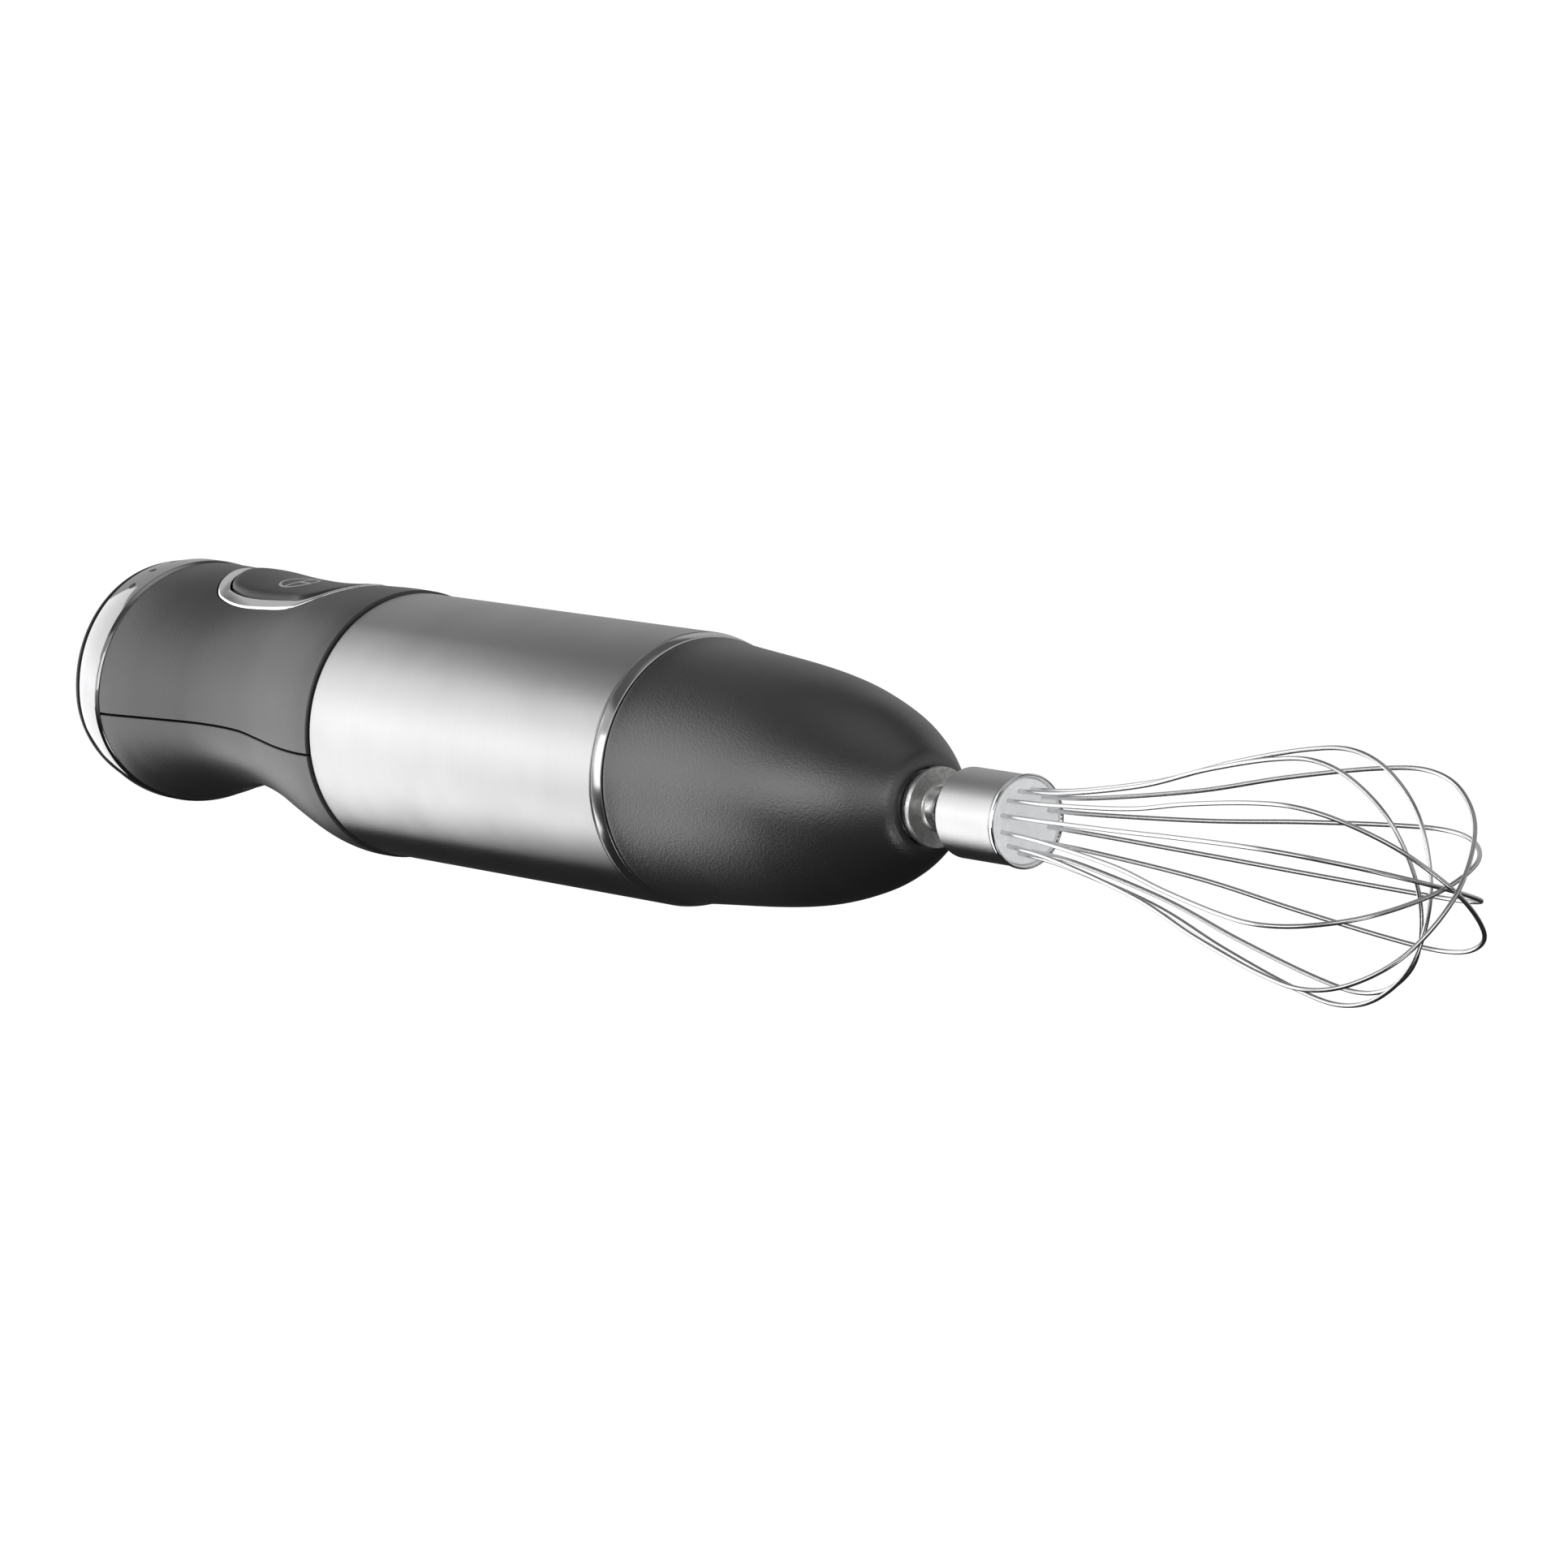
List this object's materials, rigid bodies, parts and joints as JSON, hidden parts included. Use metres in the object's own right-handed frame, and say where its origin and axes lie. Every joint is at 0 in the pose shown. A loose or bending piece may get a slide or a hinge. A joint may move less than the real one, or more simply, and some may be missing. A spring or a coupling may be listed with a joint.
{
  "type": "hand mixer",
  "caption": "Hand-held mixer with a grip, steel motor sleeve, planetary gearbox head and removable wire whisk.",
  "frame": {"origin": "on the drive axis, at the joint between the grip and the steel sleeve, where a hand holds it", "axes": "+X along the drive axis towards the whisk, +Z towards the power button, +Y completes the right-handed frame"},
  "size_m": [0.4602, 0.0662, 0.0637],
  "materials": {
    "soft_grip": "soft touch, very fine grain",
    "black_plastic": "satin",
    "button_plastic": "satin",
    "white_plastic": "satin",
    "clear_plastic": "translucent grey",
    "brushed_steel": "brushed round the sleeve",
    "chrome": "polished",
    "steel": "polished",
    "zinc": "turned, satin",
    "iron": "laminated",
    "copper": "enamelled copper wire",
    "carbon": "pressed carbon",
    "brass": "plain",
    "board": "green lacquer",
    "rubber": "matt",
    "nylon": "natural"
  },
  "bodies": {
    "motor_unit": {"upper_handle_shell": "soft_grip", "lower_handle_shell": "soft_grip", "grip_screw_rear": "steel", "grip_screw_front": "steel", "rear_trim_ring": "chrome", "rear_end_cap": "black_plastic", "potentiometer": "white_plastic", "cord_gland": "rubber", "button_bezel": "chrome", "microswitch": "black_plastic", "switch_bracket": "white_plastic", "control_board": "board", "suppression_capacitor": "brass", "steel_sleeve": "brushed_steel", "motor_carrier": "black_plastic", "front_trim_ring": "chrome", "stator_core": "iron", "field_coil_upper": "copper", "field_coil_lower": "copper", "rear_motor_bracket": "black_plastic", "front_motor_plate": "black_plastic", "rear_bearing": "brass", "front_bearing": "steel", "brush_holder_left": "brass", "brush_holder_right": "brass", "carbon_brush_left": "carbon", "carbon_brush_right": "carbon", "button_spring": "steel"},
    "button": {"power_button": "button_plastic"},
    "dial": {"speed_dial": "black_plastic"},
    "armature": {"motor_shaft": "steel", "armature_core": "iron", "armature_winding_front": "copper", "armature_winding_rear": "copper", "commutator": "copper", "cooling_fan": "black_plastic", "drive_coupler": "nylon"},
    "gearbox": {"gearbox_housing": "soft_grip", "gearbox_cover": "black_plastic", "input_bush": "brass", "output_bush": "steel", "ring_gear": "nylon"},
    "sun": {"sun_gear": "steel"},
    "carrier": {"planet_carrier": "steel", "planet_pin_1": "steel", "planet_pin_2": "steel", "planet_pin_3": "steel", "output_collar": "zinc"},
    "planet_1": {"planet_gear_1": "nylon"},
    "planet_2": {"planet_gear_2": "nylon"},
    "planet_3": {"planet_gear_3": "nylon"},
    "whisk": {"whisk_shaft": "steel", "whisk_ferrule": "steel", "whisk_plug": "clear_plastic", "whisk_loop_1": "steel", "whisk_loop_2": "steel", "whisk_loop_3": "steel", "whisk_loop_4": "steel", "whisk_loop_5": "steel", "whisk_loop_6": "steel"}
  },
  "joints": [
    {"name": "power_button_press", "type": "slide", "parent": "motor_unit", "child": "button", "axis": [0, 0, -1], "range_m": [0, 0.002], "stiffness_N_per_m": 700, "springref_m": -0.002, "deforming": ["button_spring"]},
    {"name": "speed_dial_turn", "type": "hinge", "parent": "motor_unit", "child": "dial", "pos_m": [-0.1, 0, 0.0085], "axis": [-1, 0, 0], "range_deg": [0, 270]},
    {"name": "motor_spin", "type": "hinge", "parent": "motor_unit", "child": "armature", "pos_m": [0.05, 0, 0], "axis": [1, 0, 0], "continuous": true},
    {"name": "gearbox_pull", "type": "slide", "parent": "motor_unit", "child": "gearbox", "axis": [1, 0, 0], "range_m": [0, 0.025]},
    {"name": "sun_spin", "type": "hinge", "parent": "gearbox", "child": "sun", "pos_m": [0.12, 0, 0], "axis": [1, 0, 0], "continuous": true},
    {"name": "whisk_spin", "type": "hinge", "parent": "gearbox", "child": "carrier", "pos_m": [0.15, 0, 0], "axis": [1, 0, 0], "continuous": true},
    {"name": "planet_1_spin", "type": "hinge", "parent": "carrier", "child": "planet_1", "pos_m": [0.133, 0.0126, 0], "axis": [1, 0, 0], "continuous": true},
    {"name": "planet_2_spin", "type": "hinge", "parent": "carrier", "child": "planet_2", "pos_m": [0.133, -0.0063, 0.01091], "axis": [1, 0, 0], "continuous": true},
    {"name": "planet_3_spin", "type": "hinge", "parent": "carrier", "child": "planet_3", "pos_m": [0.133, -0.0063, -0.01091], "axis": [1, 0, 0], "continuous": true},
    {"name": "whisk_pull", "type": "slide", "parent": "carrier", "child": "whisk", "axis": [1, 0, 0], "range_m": [0, 0.03]}
  ],
  "couplings": [
    {"joint": "sun_spin", "follows": "motor_spin", "ratio": 1},
    {"joint": "whisk_spin", "follows": "motor_spin", "ratio": 0.16667},
    {"joint": "planet_1_spin", "follows": "motor_spin", "ratio": -0.41667},
    {"joint": "planet_2_spin", "follows": "motor_spin", "ratio": -0.41667},
    {"joint": "planet_3_spin", "follows": "motor_spin", "ratio": -0.41667}
  ]
}
